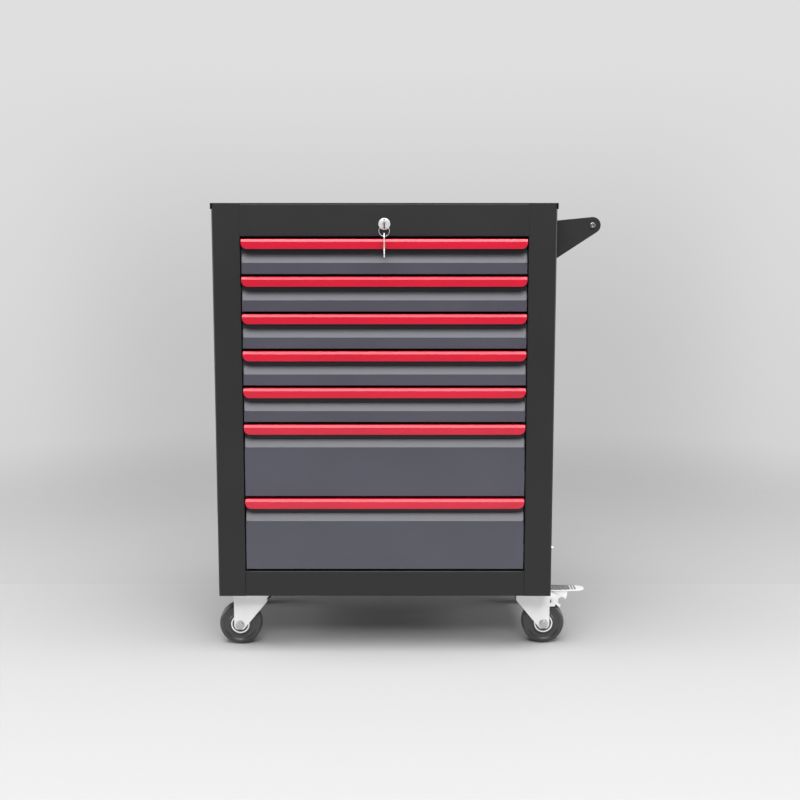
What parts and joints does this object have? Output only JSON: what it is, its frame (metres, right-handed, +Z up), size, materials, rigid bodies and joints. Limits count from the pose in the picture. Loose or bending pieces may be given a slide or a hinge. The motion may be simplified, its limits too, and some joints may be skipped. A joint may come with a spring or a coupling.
{
  "type": "rolling tool chest",
  "caption": "Rolling tool chest with stacked sliding drawers, full-width pulls, a key lock, a side push handle and swivel casters.",
  "frame": {"origin": "centre of the whole chest's footprint, on the floor under the wheels", "axes": "+Z up, -Y out of the drawer fronts, +X towards the push handle"},
  "size_m": [0.7072, 0.3986, 0.828],
  "materials": {
    "body_paint": "fine-textured dark grey powder coat",
    "drawer_paint": "satin blue-grey powder coat",
    "red_paint": "satin red powder coat",
    "black_paint": "satin black powder coat",
    "zinc_steel": "bright zinc-plated",
    "caster_zinc": "zinc-plated",
    "fastener_steel": "zinc-plated",
    "chrome": "nickel-plated",
    "tyre_rubber": "matt dark grey"
  },
  "bodies": {
    "cabinet": {"side_panel_left": "body_paint", "side_panel_right": "body_paint", "back_panel": "body_paint", "bottom_panel": "body_paint", "top_cover": "body_paint", "top_rail": "body_paint", "bottom_rail": "body_paint", "slide_posts": "body_paint", "slide_outer_left": "zinc_steel", "slide_outer_right": "zinc_steel", "panel_screws": "fastener_steel", "lock_housing": "chrome", "lock_nut": "fastener_steel", "lock_bar_guides": "zinc_steel", "handle_bracket_front": "black_paint", "handle_bracket_rear": "black_paint", "handle_tube": "black_paint", "handle_bolts": "fastener_steel", "caster_bolts": "fastener_steel", "caster_plates": "zinc_steel", "caster_kingpins": "zinc_steel"},
    "lock": {"lock_plug": "chrome", "lock_rod": "zinc_steel", "key": "chrome"},
    "lock_bar": {"lock_bar": "zinc_steel"},
    "drawer_1": {"drawer_1_box": "drawer_paint", "drawer_1_pull": "red_paint", "drawer_1_slides": "zinc_steel"},
    "drawer_2": {"drawer_2_box": "drawer_paint", "drawer_2_pull": "red_paint", "drawer_2_slides": "zinc_steel"},
    "drawer_3": {"drawer_3_box": "drawer_paint", "drawer_3_pull": "red_paint", "drawer_3_slides": "zinc_steel"},
    "drawer_4": {"drawer_4_box": "drawer_paint", "drawer_4_pull": "red_paint", "drawer_4_slides": "zinc_steel"},
    "drawer_5": {"drawer_5_box": "drawer_paint", "drawer_5_pull": "red_paint", "drawer_5_slides": "zinc_steel"},
    "drawer_6": {"drawer_6_box": "drawer_paint", "drawer_6_pull": "red_paint", "drawer_6_slides": "zinc_steel"},
    "drawer_7": {"drawer_7_box": "drawer_paint", "drawer_7_pull": "red_paint", "drawer_7_slides": "zinc_steel"},
    "caster_front_left": {"fork_front_left": "caster_zinc"},
    "wheel_front_left": {"hub_front_left": "caster_zinc", "tyre_front_left": "tyre_rubber"},
    "caster_front_right": {"fork_front_right": "caster_zinc"},
    "wheel_front_right": {"hub_front_right": "caster_zinc", "tyre_front_right": "tyre_rubber"},
    "brake_front_right": {"brake_pedal_front_right": "caster_zinc"},
    "caster_rear_left": {"fork_rear_left": "caster_zinc"},
    "wheel_rear_left": {"hub_rear_left": "caster_zinc", "tyre_rear_left": "tyre_rubber"},
    "caster_rear_right": {"fork_rear_right": "caster_zinc"},
    "wheel_rear_right": {"hub_rear_right": "caster_zinc", "tyre_rear_right": "tyre_rubber"}
  },
  "joints": [
    {"name": "key_turn", "type": "hinge", "parent": "cabinet", "child": "lock", "pos_m": [-0.0386, -0.1727, 0.791], "axis": [0, 1, 0], "range_deg": [0, 90]},
    {"name": "lock_bar_lift", "type": "slide", "parent": "cabinet", "child": "lock_bar", "axis": [0, 0, 1], "range_m": [0, 0.008]},
    {"name": "drawer_1_slide", "type": "slide", "parent": "cabinet", "child": "drawer_1", "axis": [0, -1, 0], "range_m": [0, 0.24]},
    {"name": "drawer_2_slide", "type": "slide", "parent": "cabinet", "child": "drawer_2", "axis": [0, -1, 0], "range_m": [0, 0.24]},
    {"name": "drawer_3_slide", "type": "slide", "parent": "cabinet", "child": "drawer_3", "axis": [0, -1, 0], "range_m": [0, 0.24]},
    {"name": "drawer_4_slide", "type": "slide", "parent": "cabinet", "child": "drawer_4", "axis": [0, -1, 0], "range_m": [0, 0.24]},
    {"name": "drawer_5_slide", "type": "slide", "parent": "cabinet", "child": "drawer_5", "axis": [0, -1, 0], "range_m": [0, 0.24]},
    {"name": "drawer_6_slide", "type": "slide", "parent": "cabinet", "child": "drawer_6", "axis": [0, -1, 0], "range_m": [0, 0.24]},
    {"name": "drawer_7_slide", "type": "slide", "parent": "cabinet", "child": "drawer_7", "axis": [0, -1, 0], "range_m": [0, 0.24]},
    {"name": "swivel_front_left", "type": "hinge", "parent": "cabinet", "child": "caster_front_left", "pos_m": [-0.2931, -0.1147, 0.1025], "axis": [0, 0, 1], "continuous": true},
    {"name": "swivel_front_right", "type": "hinge", "parent": "cabinet", "child": "caster_front_right", "pos_m": [0.2412, -0.1087, 0.1025], "axis": [0, 0, 1], "continuous": true},
    {"name": "swivel_rear_left", "type": "hinge", "parent": "cabinet", "child": "caster_rear_left", "pos_m": [-0.2931, 0.1373, 0.1025], "axis": [0, 0, 1], "continuous": true},
    {"name": "swivel_rear_right", "type": "hinge", "parent": "cabinet", "child": "caster_rear_right", "pos_m": [0.2412, 0.1373, 0.1025], "axis": [0, 0, 1], "continuous": true},
    {"name": "roll_front_left", "type": "hinge", "parent": "caster_front_left", "child": "wheel_front_left", "pos_m": [-0.3136, -0.1147, 0.04], "axis": [0, 1, 0], "continuous": true},
    {"name": "roll_front_right", "type": "hinge", "parent": "caster_front_right", "child": "wheel_front_right", "pos_m": [0.2617, -0.1087, 0.04], "axis": [0, 1, 0], "continuous": true},
    {"name": "roll_rear_left", "type": "hinge", "parent": "caster_rear_left", "child": "wheel_rear_left", "pos_m": [-0.3136, 0.1373, 0.04], "axis": [0, 1, 0], "continuous": true},
    {"name": "roll_rear_right", "type": "hinge", "parent": "caster_rear_right", "child": "wheel_rear_right", "pos_m": [0.2617, 0.1373, 0.04], "axis": [0, 1, 0], "continuous": true},
    {"name": "brake_front_right", "type": "hinge", "parent": "caster_front_right", "child": "brake_front_right", "pos_m": [0.2807, -0.1087, 0.088], "axis": [0, 1, 0], "range_deg": [0, 9]}
  ],
  "couplings": [
    {"joint": "key_turn", "follows": "lock_bar_lift", "rad_per_m": 196.35}
  ]
}
